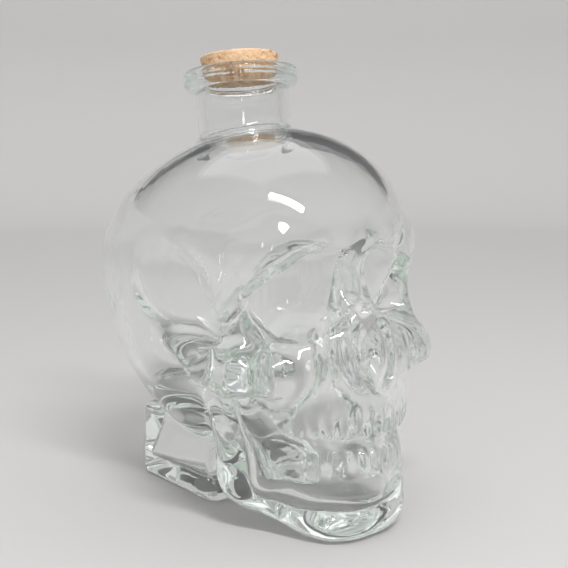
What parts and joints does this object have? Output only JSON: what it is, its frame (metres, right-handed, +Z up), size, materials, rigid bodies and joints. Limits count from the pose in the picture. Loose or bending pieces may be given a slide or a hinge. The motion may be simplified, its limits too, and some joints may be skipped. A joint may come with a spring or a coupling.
{
  "type": "skull bottle",
  "caption": "Clear glass spirits bottle moulded as a human skull on a square foot, with a flanged neck closed by a tapered cork stopper.",
  "frame": {"origin": "middle of the bounding box's footprint, on the surface that the bottle stands on", "axes": "+Z up, -Y the way the face looks, +X to the skull's own left"},
  "size_m": [0.108, 0.1424, 0.1742],
  "materials": {
    "clear_glass": "clear gloss with a faint green in the thick parts",
    "cork": "matte agglomerated cork"
  },
  "bodies": {
    "bottle": {"skull_bottle": "clear_glass"},
    "cork": {"cork_stopper": "cork"}
  },
  "joints": [
    {"name": "cork_pull", "type": "slide", "parent": "bottle", "child": "cork", "axis": [0, 0.1045, 0.9945], "range_m": [0, 0.03]}
  ]
}
